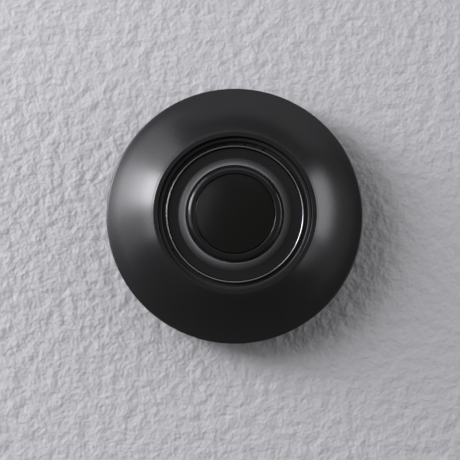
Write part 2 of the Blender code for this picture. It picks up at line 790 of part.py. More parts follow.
def main():
    flange()
    wall_plate()
    wall_gasket()
    cable_grommet()
    rear_housing()
    housing_seal()
    retaining_ring()
    light_ring()
    surround()
    bezel()
    window()
    window_seal()
    button_carrier()
    wave_spring()
    tact_switches()
    camera()
    main_board()
    board_parts()
    microphone_boot()
    speaker()
    terminals()
    screws()


main()
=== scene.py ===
"""Looks of the round flared doorbell: fine turned surfaces, finishes, stage, lights and camera."""

import json
import math

import bmesh
import bpy
from bpy.props import FloatProperty, FloatVectorProperty, PointerProperty
from mathutils import Matrix, Vector


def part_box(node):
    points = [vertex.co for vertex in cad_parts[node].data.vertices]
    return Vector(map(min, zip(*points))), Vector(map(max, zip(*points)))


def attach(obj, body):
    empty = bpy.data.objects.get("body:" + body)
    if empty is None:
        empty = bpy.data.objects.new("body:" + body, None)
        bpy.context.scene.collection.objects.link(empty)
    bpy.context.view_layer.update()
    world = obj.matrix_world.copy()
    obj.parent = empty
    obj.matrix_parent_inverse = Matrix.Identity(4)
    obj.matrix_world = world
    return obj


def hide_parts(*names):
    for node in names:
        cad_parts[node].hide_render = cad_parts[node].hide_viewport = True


bl_info = {
    "name": "Round Doorbell",
    "version": (1, 0, 0),
    "blender": (4, 5, 0),
    "location": "3D View > Sidebar > Doorbell",
    "description": "Builds the visible surfaces and finishes of a round flared doorbell",
    "category": "Object",
}

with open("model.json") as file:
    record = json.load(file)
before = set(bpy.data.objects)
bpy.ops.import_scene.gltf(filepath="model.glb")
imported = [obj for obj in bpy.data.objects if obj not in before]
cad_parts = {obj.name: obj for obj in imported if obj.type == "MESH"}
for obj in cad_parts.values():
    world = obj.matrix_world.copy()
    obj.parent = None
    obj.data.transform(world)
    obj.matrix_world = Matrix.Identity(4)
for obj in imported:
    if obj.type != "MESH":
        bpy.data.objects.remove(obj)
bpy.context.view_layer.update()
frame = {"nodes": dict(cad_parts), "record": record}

TURN_STEPS = 240  # facets round a large turned piece
FINE_STEPS = 48  # facets round a small one
CORNER_STEPS = 6  # facets on a rounded corner


def reach(node):
    """A turned node's largest radius, and its back and front heights above the wall."""
    low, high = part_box(node)
    return high.x, -high.y, -low.y


FLANGE_RADIUS, FLANGE_BACK, FLANGE_FRONT = reach("flange")
SEAT_RADIUS, SURROUND_BACK, COVE_HEIGHT = reach("surround")
_, LIGHT_BACK, BEAD_HEIGHT = reach("light_ring")
RETAINER_RADIUS, RETAINER_BACK, RETAINER_FRONT = reach("retaining_ring")
BEZEL_RADIUS, BEZEL_BACK, BEZEL_HEIGHT = reach("bezel")
WINDOW_RADIUS, WINDOW_BACK, WINDOW_HEIGHT = reach("window")
PLATE_RADIUS = reach("wall_plate")[0]
GASKET_RADIUS, _, GASKET_HEIGHT = reach("wall_gasket")
GAP = 0.0003  # clearance that the separate solids keep
SURROUND_SEAT = SURROUND_BACK + 0.0006
LIGHT_SEAT = LIGHT_BACK + 0.0006
SKIRT_RADIUS = 0.0384  # the flange's side narrows to this at the wall
SHELL = 0.0018  # thickness of the flange's wall
LIP_RADIUS = 0.0004  # rounding of the collar's outer edge
BORE_RADIUS = 0.0240  # the flange's bore, where the collar's lip begins
RIM_EDGE = FLANGE_RADIUS - 0.0005  # where the flange's face meets its rounded rim


# ---------------------------------------------------------------- shader expressions


class Value:
    """A shader socket that can stand in a Python expression. Each operator adds its Math node."""

    def __init__(self, graph, socket):
        self.graph = graph
        self.socket = socket

    def _maths(self, operation, first, second):
        return self.graph.node("ShaderNodeMath", {"operation": operation}, {0: first, 1: second})

    def __add__(self, other):
        return self._maths("ADD", self, other)

    def __sub__(self, other):
        return self._maths("SUBTRACT", self, other)

    def __rsub__(self, other):
        return self._maths("SUBTRACT", other, self)

    def __mul__(self, other):
        return self._maths("MULTIPLY", self, other)

    def __pow__(self, other):
        return self._maths("POWER", self, other)

    __radd__ = __add__
    __rmul__ = __mul__


class Graph:
    """A material's or a world's node tree, with one way to add a node."""

    def __init__(self, tree):
        self.tree = tree
        self.tree.nodes.clear()

    def node(self, kind, settings=None, inputs=None, output=0):
        """Adds a node, sets it up, feeds its sockets and returns one of its outputs."""
        made = self.tree.nodes.new(kind)
        for name, value in (settings or {}).items():
            if name == "stops":
                self._set_stops(made.color_ramp, value)
            else:
                setattr(made, name, value)
        for key, value in (inputs or {}).items():
            self.feed(made.inputs[key], value)
        return Value(self, made.outputs[output]) if made.outputs else made

    def feed(self, socket, value):
        if isinstance(value, Value):
            self.tree.links.new(value.socket, socket)
        else:
            socket.default_value = value

    @staticmethod
    def _set_stops(ramp, stops):
        while len(ramp.elements) < len(stops):
            ramp.elements.new(0.5)
        for element, (place, level) in zip(ramp.elements, stops):
            element.position = place
            element.color = (level, level, level, 1)

    def mix(self, factor, first, second):
        """Blends two colours."""
        inputs = {0: factor, 6: first, 7: second}
        return self.node("ShaderNodeMix", {"data_type": "RGBA"}, inputs, output=2)

    def place(self):
        """The point's place on the object, in metres."""
        return self.node("ShaderNodeTexCoord", output=3)

    def noise(self, scale, detail=2.0, roughness=0.5, place=None):
        inputs = {"Vector": place or self.place(), "Scale": scale, "Detail": detail, "Roughness": roughness}
        return self.node("ShaderNodeTexNoise", None, inputs)

    def radius(self):
        """Distance from the doorbell's axis."""
        flat = self.node(
            "ShaderNodeVectorMath", {"operation": "MULTIPLY"}, {0: self.place(), 1: (1, 0, 1)}
        )
        return self.node("ShaderNodeVectorMath", {"operation": "LENGTH"}, {0: flat}, output=1)

    def rings(self, scale, detail=3.0):
        """Noise that changes only with the distance from the axis, like fine turning marks."""
        along = self.node("ShaderNodeCombineXYZ", None, {0: self.radius()})
        return self.noise(scale, detail, place=along)

    def bump(self, height, distance, strength=1.0):
        inputs = {"Height": height, "Distance": distance, "Strength": strength}
        return self.node("ShaderNodeBump", None, inputs)


def tint(colour, factor):
    """A colour made lighter or darker, as four numbers."""
    return (*(min(1.0, channel * factor) for channel in colour), 1.0)


def material(name, paint):
    """A new material whose Principled inputs come from paint(graph)."""
    made = bpy.data.materials.new(name)
    made.use_nodes = True
    graph = Graph(made.node_tree)
    shader = graph.node("ShaderNodeBsdfPrincipled", None, paint(graph))
    graph.node("ShaderNodeOutputMaterial", None, {0: shader})
    return made


# ---------------------------------------------------------------- finishes


def gloss_black(graph, look):
    """Moulded black with a polished face: faint flow marks, fine dust and a soft orange peel."""
    flow = graph.noise(90, 3)
    dust = graph.noise(5200, 2, 0.7)
    specks = graph.node("ShaderNodeValToRGB", {"stops": [(0.70, 0.0), (0.80, 1.0)]}, {0: dust})
    shade = graph.mix(flow, tint(look.gloss_colour, 0.85), tint(look.gloss_colour, 1.15))
    peel = graph.noise(1400, 2) * 0.6 + graph.rings(9000) * 0.4
    return {
        "Base Color": graph.mix(specks * 0.10, shade, tint(look.gloss_colour, 5.0)),
        "Roughness": flow * 0.03 + dust * 0.02 + (look.gloss_roughness - 0.025),
        "Normal": graph.bump(peel, 0.000003),
        "Specular IOR Level": 0.5,
    }


def polished_black(graph, look):
    """The casing's black, buffed to a mirror on the bezel."""
    marks = graph.rings(16000)
    cloud = graph.noise(240, 2)
    return {
        "Base Color": graph.mix(cloud, tint(look.gloss_colour, 0.9), tint(look.gloss_colour, 1.1)),
        "Roughness": marks * 0.03 + cloud * 0.02 + look.bezel_roughness,
        "Normal": graph.bump(marks, 0.000001),
    }


def satin_black(graph, look):
    """Turned black with a finely blasted face."""
    grain = graph.noise(6000, 3, 0.6)
    marks = graph.rings(14000)
    return {
        "Base Color": graph.mix(grain, tint(look.gloss_colour, 0.8), tint(look.gloss_colour, 1.4)),
        "Roughness": grain * 0.12 + 0.36,
        "Normal": graph.bump(grain * 0.6 + marks * 0.4, 0.000010),
    }


def satin_graphite(graph, look):
    """Satin graphite with a highlight painted into its colour: bright along the cove's inner edge, fading to
    the casing's black at its foot.
    """
    inner, outer = 0.0155, 0.0177
    grain = graph.noise(5200, 3, 0.6)
    marks = graph.rings(16000)
    across = (graph.radius() - inner) * (1 / (outer - inner))
    # Painted highlight: the colour lightens from the cove's foot to its inner edge, standing in for the light
    # reflected there.
    painted_highlight = graph.node("ShaderNodeMapRange", {"clamp": True}, {0: across, 1: 1.0, 2: 0.0, 3: 0.0, 4: 1.0})
    highlight_colour = graph.mix(marks * 0.6 + grain * 0.4, tint(look.cove_highlight_colour, 0.8), tint(look.cove_highlight_colour, 1.2))
    return {
        "Base Color": graph.mix(painted_highlight**1.8, tint(look.gloss_colour, 1.0), highlight_colour),
        "Roughness": grain * 0.08 + 0.42,
        "Normal": graph.bump(grain, 0.000003),
    }


def bead_metal(graph, look):
    """Polished black nickel with hairline turning marks."""
    marks = graph.rings(20000)
    cloud = graph.noise(240, 2)
    return {
        "Base Color": graph.mix(cloud, tint(look.bead_colour, 0.9), tint(look.bead_colour, 1.1)),
        "Metallic": 1.0,
        "Roughness": marks * 0.06 + cloud * 0.04 + 0.14,
        "Normal": graph.bump(marks, 0.000002),
    }


def smoked_window(graph, look):
    """Smoked polycarbonate, polished, with a trace of handling haze."""
    haze = graph.noise(160, 3)
    return {
        "Base Color": graph.mix(haze, tint(look.window_colour, 0.9), tint(look.window_colour, 1.1)),
        "Roughness": haze * 0.05 + look.window_roughness,
        "Specular IOR Level": 0.42,
        "Normal": graph.bump(graph.noise(700, 2), 0.000002),
    }


def moulded(colour, roughness, grain_scale=3500, grain_depth=0.00002, spread=0.2, metallic=0.0):
    """A paint function for a plain moulded, sheet or foam piece with its own grain."""

    def paint(graph, look):
        grain = graph.noise(grain_scale, 3, 0.6)
        cloud = graph.noise(180, 2)
        mottle = cloud * 0.6 + grain * 0.4
        return {
            "Base Color": graph.mix(mottle, tint(colour, 1 - spread), tint(colour, 1 + spread)),
            "Metallic": metallic,
            "Roughness": grain * 0.16 + (roughness - 0.08),
            "Normal": graph.bump(grain, grain_depth),
        }

    return paint


def circuit_board(graph, look):
    """Green solder mask over copper pour, with tracks that show as a faint relief."""
    tracks = graph.node(
        "ShaderNodeTexVoronoi",
        {"feature": "F1", "distance": "MANHATTAN"},
        {"Vector": graph.place(), "Scale": 620.0},
    )
    lines = graph.node("ShaderNodeValToRGB", {"stops": [(0.30, 0.0), (0.36, 1.0)]}, {0: tracks})
    return {
        "Base Color": graph.mix(lines, (0.010, 0.060, 0.030, 1), (0.018, 0.110, 0.050, 1)),
        "Roughness": lines * 0.08 + 0.34,
        "Normal": graph.bump(lines, 0.00003),
    }


FINISHES = {
    "gloss_black": gloss_black,
    "satin_black": satin_black,
    "black_nickel": bead_metal,
    "smoked": smoked_window,
    "satin_graphite": satin_graphite,
    "polished_black": polished_black,
    "board_green": circuit_board,
    "dark_grey": moulded((0.045, 0.046, 0.048), 0.58, 3200, 0.00003),
    "rubber": moulded((0.020, 0.020, 0.020), 0.80, 2600, 0.00003),
    "foam": moulded((0.035, 0.035, 0.037), 0.95, 1500, 0.00020, 0.35),
    "steel": moulded((0.56, 0.57, 0.58), 0.34, 7000, 0.00001, 0.1, 1.0),
    "tin": moulded((0.62, 0.62, 0.60), 0.40, 5000, 0.00001, 0.08, 1.0),
    "chip": moulded((0.018, 0.018, 0.019), 0.55, 8000, 0.00001),
    "ivory": moulded((0.62, 0.60, 0.52), 0.48, 4000, 0.00001, 0.06),
    "tantalum": moulded((0.55, 0.36, 0.06), 0.52, 5000, 0.00001, 0.1),
    "terminal_green": moulded((0.020, 0.170, 0.070), 0.48, 3000, 0.00002, 0.1),
    "glass": moulded((0.020, 0.016, 0.030), 0.10, 900, 0.000001, 0.3),
}


def finish(slot_name):
    """The material of a slot, made once."""
    name = f"doorbell_{slot_name}"
    look = bpy.context.scene.doorbell_look
    return bpy.data.materials.get(name) or material(name, lambda graph: FINISHES[slot_name](graph, look))


# ---------------------------------------------------------------- mesh tools


def arc(centre, radius, start, end, steps):
    """Points on an arc of a profile, from one angle to another, in degrees."""
    points = []
    for step in range(steps + 1):
        angle = math.radians(start + (end - start) * step / steps)
        points.append((centre[0] + radius * math.cos(angle), centre[1] + radius * math.sin(angle)))
    return points


def rounded(corners, steps=CORNER_STEPS):
    """A closed outline from (x, y, corner radius), with each corner turned into an arc."""
    points = []
    count = len(corners)
    for n, (x, y, radius) in enumerate(corners):
        here = Vector((x, y))
        if radius <= 0:
            points.append(here)
            continue
        back = (Vector(corners[n - 1][:2]) - here).normalized()
        ahead = (Vector(corners[(n + 1) % count][:2]) - here).normalized()
        half = back.angle(ahead) / 2
        middle = here + (back + ahead).normalized() * (radius / math.sin(half))
        start = here + back * (radius / math.tan(half)) - middle
        end = here + ahead * (radius / math.tan(half)) - middle
        sweep = start.angle_signed(end)
        for step in range(steps + 1):
            points.append(middle + Matrix.Rotation(-sweep * step / steps, 2) @ start)
    return points


def new_piece(name, shape):
    """An object from a bmesh, with its normals made consistent and its curved faces smooth."""
    bmesh.ops.remove_doubles(shape, verts=shape.verts, dist=1e-7)
    bmesh.ops.recalc_face_normals(shape, faces=shape.faces)
    mesh = bpy.data.meshes.new(name)
    shape.to_mesh(mesh)
    shape.free()
    mesh.shade_smooth()
    mesh.set_sharp_from_angle(angle=math.radians(40))
    piece = bpy.data.objects.new(name, mesh)
    bpy.context.scene.collection.objects.link(piece)
    return piece


def turned(name, outline, closed=True, steps=TURN_STEPS, centre=(0.0, 0.0)):
    """A solid turned about an axis square to the wall, from (radius, height) points.

    An open outline starts and ends on the axis.
    """
    shape = bmesh.new()
    verts = [shape.verts.new((radius, -height, 0)) for radius, height in outline]
    pairs = list(zip(verts, verts[1:]))
    if closed:
        pairs.append((verts[-1], verts[0]))
    edges = [shape.edges.new(pair) for pair in pairs]
    bmesh.ops.spin(
        shape, geom=verts + edges, cent=(0, 0, 0), axis=(0, 1, 0), angle=math.tau, steps=steps, use_merge=True
    )
    bmesh.ops.translate(shape, vec=(centre[0], 0, centre[1]), verts=shape.verts)
    return new_piece(name, shape)


def plug(name, radius, low, high, steps=FINE_STEPS, centre=(0.0, 0.0)):
    """A solid cylinder square to the wall, between two heights above it."""
    return turned(name, [(0, low), (radius, low), (radius, high), (0, high)], False, steps, centre)


def slab(name, width, length, corner, low, high, centre):
    """A rounded rectangle between two heights above the wall."""
    half_w, half_l = width / 2, length / 2
    corners = [(-half_w, -half_l), (half_w, -half_l), (half_w, half_l), (-half_w, half_l)]
    shape = bmesh.new()
    outline = rounded([(x, z, corner) for x, z in corners])
    ring = [shape.verts.new((centre[0] + x, -low, centre[1] + z)) for x, z in outline]
    face = shape.faces.new(ring)
    lifted = bmesh.ops.extrude_face_region(shape, geom=[face])["geom"]
    bmesh.ops.translate(
        shape, vec=(0, low - high, 0), verts=[v for v in lifted if isinstance(v, bmesh.types.BMVert)]
    )
    return new_piece(name, shape)


def carve(piece, *cutters):
    """Cuts the cutters out of a piece, removes them and mends the seams that the cuts leave."""
    for cutter in cutters:
        modifier = piece.modifiers.new("cut", "BOOLEAN")
        modifier.operation = "DIFFERENCE"
        modifier.solver = "EXACT"
        modifier.object = cutter
    depsgraph = bpy.context.evaluated_depsgraph_get()
    mesh = bpy.data.meshes.new_from_object(piece.evaluated_get(depsgraph))
    piece.modifiers.clear()
    piece.data = mesh
    shape = bmesh.new()
    shape.from_mesh(mesh)
    bmesh.ops.remove_doubles(shape, verts=shape.verts, dist=2e-7)
    bmesh.ops.dissolve_degenerate(shape, edges=shape.edges, dist=2e-7)
    bmesh.ops.triangulate(shape, faces=[face for face in shape.faces if len(face.verts) > 4])
    bmesh.ops.holes_fill(shape, edges=[edge for edge in shape.edges if edge.is_boundary], sides=4)
    bmesh.ops.recalc_face_normals(shape, faces=shape.faces)
    shape.to_mesh(mesh)
    shape.free()
    mesh.set_sharp_from_angle(angle=math.radians(40))
    for cutter in cutters:
        bpy.data.objects.remove(cutter)


def settle(piece, body, slot_name, *nodes, finish_name=None):
    """Gives a piece its finish, the body it moves with and the nodes it stands for."""
    piece.data.materials.clear()
    piece.data.materials.append(finish(finish_name or slot_name))
    weighted = piece.modifiers.new("weighted normals", "WEIGHTED_NORMAL")
    weighted.keep_sharp = True
    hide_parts(*nodes)
    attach(piece, body)


def paint_faces(piece, slot_name, chosen):
    """Gives the faces that chosen(radius, height) picks a second finish."""
    piece.data.materials.append(finish(slot_name))
    for face in piece.data.polygons:
        middle = face.center
        if chosen(math.hypot(middle.x, middle.z), -middle.y):
            face.material_index = len(piece.data.materials) - 1


def refinish(*names):
    """Gives the carried-over nodes the finish of their own slots."""
    slots = {part["node"]: part["material_slot"] for part in frame["record"]["subparts"]}
    for name in names:
        node = frame["nodes"][name]
        node.data.materials.clear()
        node.data.materials.append(finish(slots[name]))


# ---------------------------------------------------------------- settings


class DoorbellSizes(bpy.types.PropertyGroup):
    """Sizes of the visible surfaces, in metres"""

    collar_radius: FloatProperty(
        name="Collar radius", description="Where the flange meets the collar", default=0.0256, unit="LENGTH"
    )
    rim_height: FloatProperty(
        name="Rim height",
        description="Height of the flange's rim above the wall",
        default=FLANGE_FRONT - 0.0080,
        unit="LENGTH",
    )
    rim_slope: FloatProperty(name="Rim slope", description="Slope of the flange at its rim", default=0.21)
    collar_slope: FloatProperty(
        name="Collar slope", description="Slope of the flange at the collar", default=0.90
    )
    land_height: FloatProperty(
        name="Land height",
        description="Height of the flat ring round the button",
        default=BEAD_HEIGHT - 0.0014,
        unit="LENGTH",
    )
    cove_radius: FloatProperty(
        name="Cove radius", description="Where the cove rises from the land", default=0.0175, unit="LENGTH"
    )
    bead_radius: FloatProperty(
        name="Bead radius", description="Middle of the thin bead", default=0.02125, unit="LENGTH"
    )


class DoorbellLook(bpy.types.PropertyGroup):
    """Colours and gloss of the visible surfaces"""

    gloss_colour: FloatVectorProperty(
        name="Black",
        description="Colour of the glossy casing",
        default=(0.0080, 0.0080, 0.0084),
        subtype="COLOR",
    )
    gloss_roughness: FloatProperty(
        name="Casing roughness", description="Haze of the glossy casing", default=0.27
    )
    bezel_roughness: FloatProperty(
        name="Bezel roughness", description="Haze of the buffed bezel", default=0.14
    )
    bead_colour: FloatVectorProperty(
        name="Bead", description="Colour of the thin bead", default=(0.36, 0.36, 0.37), subtype="COLOR"
    )
    # Brightest colour of the highlight painted along the cove's inner edge.
    cove_highlight_colour: FloatVectorProperty(
        name="Cove",
        description="Colour of the satin cove round the button",
        default=(0.20, 0.20, 0.205),
        subtype="COLOR",
    )
    window_colour: FloatVectorProperty(
        name="Window",
        description="Colour of the smoked window",
        default=(0.0045, 0.0045, 0.0038),
        subtype="COLOR",
    )
    window_roughness: FloatProperty(name="Window roughness", description="Haze of the window", default=0.16)
    wall_colour: FloatVectorProperty(
        name="Wall", description="Colour of the wall", default=(0.520, 0.520, 0.525), subtype="COLOR"
    )


class DoorbellStage(bpy.types.PropertyGroup):
    """Camera and lights"""

    camera_distance: FloatProperty(
        name="Camera distance", description="From the lens to the wall", default=1.4, unit="LENGTH"
    )
    camera_rise: FloatProperty(
        name="Camera rise",
        description="The camera's angle above the doorbell, negative from below",
        default=math.radians(-6.0),
        subtype="ANGLE",
    )
    field: FloatProperty(
        name="Field", description="Width of wall that the camera takes in", default=0.1445, unit="LENGTH"
    )
    key_radiance: FloatProperty(name="Key", description="Brightness of the key light's face", default=11.4)


# ---------------------------------------------------------------- casing


def flange_height(sizes, radius):
    """Height of the flange's face above the wall: its slope grows evenly from rim to collar."""
    inward = RIM_EDGE - radius
    run = RIM_EDGE - sizes.collar_radius
    steepening = (sizes.collar_slope - sizes.rim_slope) * inward**2 / (2 * run)
    return sizes.rim_height + sizes.rim_slope * inward + steepening


def flange_inside(sizes, radius):
    """A point of the flange's inner face, a little over one wall thickness behind the outer one."""
    share = (FLANGE_RADIUS - radius) / (FLANGE_RADIUS - sizes.collar_radius)
    slope = sizes.rim_slope + (sizes.collar_slope - sizes.rim_slope) * share
    allowance = 0.0004
    return radius, flange_height(sizes, radius) - SHELL * math.hypot(1, slope) - allowance


class DOORBELL_OT_flange(bpy.types.Operator):
    """Build the trumpet-shaped flange with its rounded collar lip, cut the seat of its security screw, and
    finish the screw and the housing seal
    """

    bl_idname = "doorbell.flange"
    bl_label = "Flange"

    def execute(self, context):
        sizes = context.scene.doorbell_sizes
        shell = turned("flange_shell", lip_arc(sizes) + self.face(sizes) + self.inside(sizes))
        seat = Matrix.Translation((0, -0.0026, -0.0370)) @ Matrix.Rotation(math.pi / 2, 4, "X")
        recess = plug("recess_cutter", 0.0017, 0.0, 0.004)
        recess.matrix_world = seat
        hole = plug("hole_cutter", 0.0012, -0.004, 0.003)
        hole.matrix_world = seat
        carve(shell, recess, hole)
        settle(shell, "unit", "gloss_black", "flange")
        refinish("security_screw", "housing_seal")
        return {"FINISHED"}

    def face(self, sizes):
        """The outline from the collar down the flange's face and round its rim to the wall."""
        faces = 48
        rim_round = 0.0006
        chamfer = 0.0002
        outline = []
        for n in range(1, faces + 1):
            radius = sizes.collar_radius + (RIM_EDGE - sizes.collar_radius) * n / faces
            outline.append((radius, flange_height(sizes, radius)))
        outline += arc((FLANGE_RADIUS - rim_round, sizes.rim_height - rim_round), rim_round, 75, 0, 6)
        return outline + [(SKIRT_RADIUS, FLANGE_BACK + chamfer), (SKIRT_RADIUS - chamfer, FLANGE_BACK)]

    def inside(self, sizes):
        """The outline up the flange's hollow back, over the ledge and into the bore."""
        foot = 0.0360
        sleeve = 0.0258
        ledge = 0.0229
        ledge_top = SURROUND_BACK - GAP
        ledge_back = ledge_top - 0.0005
        return [
            (foot, FLANGE_BACK),
            *(flange_inside(sizes, radius) for radius in (foot, 0.0316, 0.0272)),
            (sleeve, ledge_back + 0.0025),
            (sleeve, ledge_back),
            (ledge, ledge_back),
            (ledge, ledge_top),
            (BORE_RADIUS + GAP, ledge_top),
            (BORE_RADIUS + GAP, RETAINER_FRONT),
            (BORE_RADIUS, RETAINER_FRONT + GAP),
        ]


def lip_arc(sizes):
    """The collar's lip, from the bore over its crown to where the flange's face begins."""
    inner, outer = 0.0001, LIP_RADIUS
    slope_angle = 90 - math.degrees(math.atan(sizes.collar_slope))
    bore_side = arc((BORE_RADIUS + inner, FLANGE_FRONT - inner), inner, 180, 90, 4)
    face_side = arc((sizes.collar_radius - outer, FLANGE_FRONT - outer), outer, 90, slope_angle, 8)
    return bore_side + face_side


class DOORBELL_OT_dish(bpy.types.Operator):
    """Build the recessed dish: retaining ring, thin bead, land and cove"""

    bl_idname = "doorbell.dish"
    bl_label = "Dish"

    def execute(self, context):
        sizes = context.scene.doorbell_sizes
        self.retaining_ring()
        self.light_ring(sizes)
        self.surround(sizes)
        return {"FINISHED"}

    def retaining_ring(self):
        inner = 0.0227
        corners = [
            (inner, RETAINER_BACK, 0),
            (RETAINER_RADIUS, RETAINER_BACK, 0),
            (RETAINER_RADIUS, RETAINER_FRONT, 0.0003),
            (inner, RETAINER_FRONT, 0.0003),
        ]
        settle(turned("retaining_ring_fine", rounded(corners)), "unit", "satin_black", "retaining_ring")

    def light_ring(self, sizes):
        half = 0.0003
        inner, outer = sizes.bead_radius - half, sizes.bead_radius + half
        corners = [
            (inner, LIGHT_BACK, 0),
            (SEAT_RADIUS, LIGHT_BACK, 0),
            (SEAT_RADIUS, LIGHT_SEAT, 0),
            (outer, LIGHT_SEAT, 0.0001),
            (outer, BEAD_HEIGHT, half * 0.98),
            (inner, BEAD_HEIGHT, half * 0.98),
        ]
        ring = turned("light_ring_fine", rounded(corners))
        carve(ring, *[self.drill(angle) for angle in (66, 74, 82, 90, 98, 106, 114, 210)])
        settle(ring, "unit", "black_nickel", "light_ring")
        paint_faces(ring, "satin_black", lambda radius, height: radius > outer or height < LIGHT_SEAT)

    def drill(self, degrees):
        """The cutter of one sound hole."""
        across = 0.0221
        angle = math.radians(degrees)
        centre = (across * math.cos(angle), across * math.sin(angle))
        return plug("drill", 0.00035, LIGHT_BACK - 0.0005, LIGHT_SEAT + 0.0005, 16, centre)

    def surround(self, sizes):
        hole = 0.0153
        top = hole + 0.0002
        rise = COVE_HEIGHT - sizes.land_height
        land_radius = 0.0207
        foot = sizes.cove_radius + 0.0003
        skirt = 0.0172
        inside = SURROUND_BACK + 0.0010
        edge = 0.0001
        steps = 24
        outline = [(hole, inside), (hole, COVE_HEIGHT - edge), (hole + edge, COVE_HEIGHT)]
        for step in range(steps + 1):
            share = 1 - step / steps
            outline.append((foot - (foot - top) * share, sizes.land_height + rise * share**2))
        outline += arc((land_radius - edge, sizes.land_height - edge), edge, 90, 0, 5)
        outline += [
            (land_radius, SURROUND_SEAT),
            (SEAT_RADIUS, SURROUND_SEAT),
            (SEAT_RADIUS, SURROUND_BACK),
            (skirt, SURROUND_BACK),
            (skirt, inside),
        ]
        ring = turned("surround_fine", outline)
        settle(ring, "unit", "gloss_black", "surround")
        # The cove's faces get the satin graphite finish with its painted highlight.
        paint_faces(
            ring,
            "satin_graphite",
            lambda radius, height: radius < sizes.cove_radius and height > sizes.land_height + 0.00002,
        )


# ---------------------------------------------------------------- button


class DOORBELL_OT_button(bpy.types.Operator):
    """Build the button's rounded bezel and domed window, and finish what carries them"""

    bl_idname = "doorbell.button"
    bl_label = "Button"

    def execute(self, context):
        self.bezel()
        self.window()
        refinish("window_seal", "button_carrier", "plunger_left", "plunger_right", "wave_spring")
        return {"FINISHED"}

    def bezel(self):
        roll = 0.0015
        inner = WINDOW_RADIUS + GAP
        ledge = WINDOW_BACK - 0.0006
        skirt = 0.0130
        bore = 0.0112
        edge = 0.00015
        outline = arc((BEZEL_RADIUS - roll, BEZEL_HEIGHT - roll), roll, 90, 0, 16)
        outline += [
            (BEZEL_RADIUS, BEZEL_BACK),
            (skirt, BEZEL_BACK),
            (skirt, ledge - 0.0006),
            (bore, ledge - 0.0006),
            (bore, ledge),
            (inner, ledge),
        ]
        outline += arc((inner + edge, BEZEL_HEIGHT - edge), edge, 180, 90, 4)
        settle(turned("bezel_fine", outline), "button", "gloss_black", "bezel", finish_name="polished_black")

    def window(self):
        crown = 0.0007
        edge = WINDOW_HEIGHT - crown
        chamfer = 0.0001
        rim_round = 0.0002
        dome_radius = WINDOW_RADIUS - 0.0003
        rings = 32
        outline = [
            (0, WINDOW_BACK),
            (WINDOW_RADIUS - chamfer, WINDOW_BACK),
            (WINDOW_RADIUS, WINDOW_BACK + chamfer),
        ]
        outline += arc((WINDOW_RADIUS - rim_round, edge - rim_round), rim_round, 0, 84, 5)
        for n in range(rings + 1):
            share = 1 - n / rings
            outline.append((dome_radius * share, edge + crown * (1 - share**2)))
        settle(turned("window_dome", outline, closed=False), "button", "smoked", "window")


# ---------------------------------------------------------------- back


class DOORBELL_OT_back(bpy.types.Operator):
    """Build the wall plate and its gasket, and finish the grommet and the housing behind it"""

    bl_idname = "doorbell.back"
    bl_label = "Back"

    def execute(self, context):
        self.wall_plate()
        self.gasket()
        refinish("cable_grommet", "rear_housing", "terminal_block", "terminal_screw_1", "terminal_screw_2")
        refinish(*(f"housing_screw_{n}" for n in range(1, 5)))
        return {"FINISHED"}

    def wall_plate(self):
        top = 0.0012
        corners = [
            (0, 0, 0),
            (PLATE_RADIUS, 0, 0.0003),
            (PLATE_RADIUS, top, 0.0002),
            (0, top, 0),
        ]
        plate = turned("wall_plate_fine", rounded(corners), closed=False)
        below, above = -0.001, 0.003  # a cutter that goes right through runs between these heights
        cutters = [slab("entry_cutter", 0.0190, 0.0150, 0.003, below, above, (0, -0.0175))]
        for side in (-1, 1):
            screw = (side * 0.030, 0)
            cutters.append(slab("slot_cutter", 0.0042, 0.0090, 0.0020, below, above, screw))
            cutters.append(slab("sink_cutter", 0.0080, 0.0128, 0.0039, 0.0006, above, screw))
        outward = Matrix.Translation((0, 0, 0.0265))
        for n in range(10):
            pocket = slab("pocket_cutter", 0.0042, 0.0090, 0.0012, below, 0.0003, (0, 0))
            pocket.matrix_world = Matrix.Rotation(math.radians(36 * n + 18), 4, "Y") @ outward
            cutters.append(pocket)
        carve(plate, *cutters)
        lug = slab("security_lug_fine", 0.0060, 0.0022, 0.0003, 0.0010, 0.0039, (0, -0.0345))
        hook = slab("top_hook_fine", 0.0100, 0.0020, 0.0003, 0.0010, 0.0034, (0, 0.0344))
        settle(plate, "unit", "dark_grey", "wall_plate")
        for piece in (lug, hook):
            settle(piece, "unit", "dark_grey")

    def gasket(self):
        inner = 0.0362
        corners = [
            (inner, 0, 0.0002),
            (GASKET_RADIUS, 0, 0.0002),
            (GASKET_RADIUS, GASKET_HEIGHT, 0.0001),
            (inner, GASKET_HEIGHT, 0.0001),
        ]
        settle(turned("wall_gasket_fine", rounded(corners, 4)), "unit", "foam", "wall_gasket")


class DOORBELL_OT_electronics(bpy.types.Operator):
    """Finish the boards, the camera, the speaker and every other node that shows as it is"""

    bl_idname = "doorbell.electronics"
    bl_label = "Electronics"

    def execute(self, context):
        shown = [name for name, node in frame["nodes"].items() if not node.hide_render]
        refinish(*sorted(shown))
        return {"FINISHED"}


# ---------------------------------------------------------------- stage


